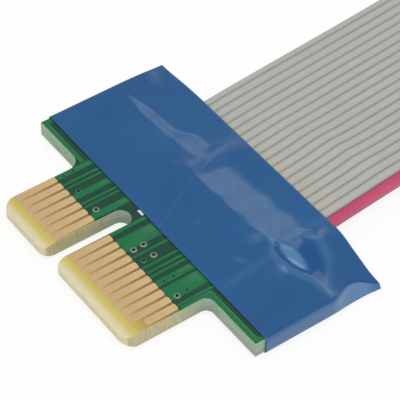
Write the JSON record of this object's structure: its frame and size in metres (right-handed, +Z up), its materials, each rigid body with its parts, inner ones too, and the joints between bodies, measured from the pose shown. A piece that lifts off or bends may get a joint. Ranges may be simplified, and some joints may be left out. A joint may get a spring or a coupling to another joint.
{
  "type": "riser cable",
  "caption": "Flexible riser cable for a graphics card slot: keyed gold edge plug, taped solder joints, stacked flat ribbon cables and an upright keyed slot on a small board.",
  "frame": {"origin": "under the middle of the two connector ends, on the surface that the cable lies on", "axes": "+Y from the plug's mating edge along the cable to the slot end, +X across the plug towards the long bank of contacts, +Z up out of the slot's mouth"},
  "size_m": [0.05, 0.1974, 0.0135],
  "materials": {
    "board": "glass-epoxy laminate with green solder mask, gold-plated copper fingers and a bare bevelled nose",
    "tape": "glossy blue film tape",
    "ribbon": "grey flexible vinyl, ribbed, one edge wire red",
    "housing": "black moulded glass-filled nylon, fine matt",
    "contact": "stamped copper alloy with a thin gold flash"
  },
  "bodies": {
    "root": {"contact_far_01": "contact", "contact_far_02": "contact", "contact_far_03": "contact", "contact_far_04": "contact", "contact_far_05": "contact", "contact_far_06": "contact", "contact_far_07": "contact", "contact_far_08": "contact", "contact_far_09": "contact", "contact_far_10": "contact", "contact_far_11": "contact", "contact_far_12": "contact", "contact_far_13": "contact", "contact_far_14": "contact", "contact_far_15": "contact", "contact_far_16": "contact", "contact_far_17": "contact", "contact_far_18": "contact", "contact_near_01": "contact", "contact_near_02": "contact", "contact_near_03": "contact", "contact_near_04": "contact", "contact_near_05": "contact", "contact_near_06": "contact", "contact_near_07": "contact", "contact_near_08": "contact", "contact_near_09": "contact", "contact_near_10": "contact", "contact_near_11": "contact", "contact_near_12": "contact", "contact_near_13": "contact", "contact_near_14": "contact", "contact_near_15": "contact", "contact_near_16": "contact", "contact_near_17": "contact", "contact_near_18": "contact", "plug_board": "board", "plug_tape": "tape", "ribbon_lower": "ribbon", "ribbon_upper": "ribbon", "slot_housing": "housing", "socket_board": "board", "socket_tape": "tape"}
  },
  "joints": []
}
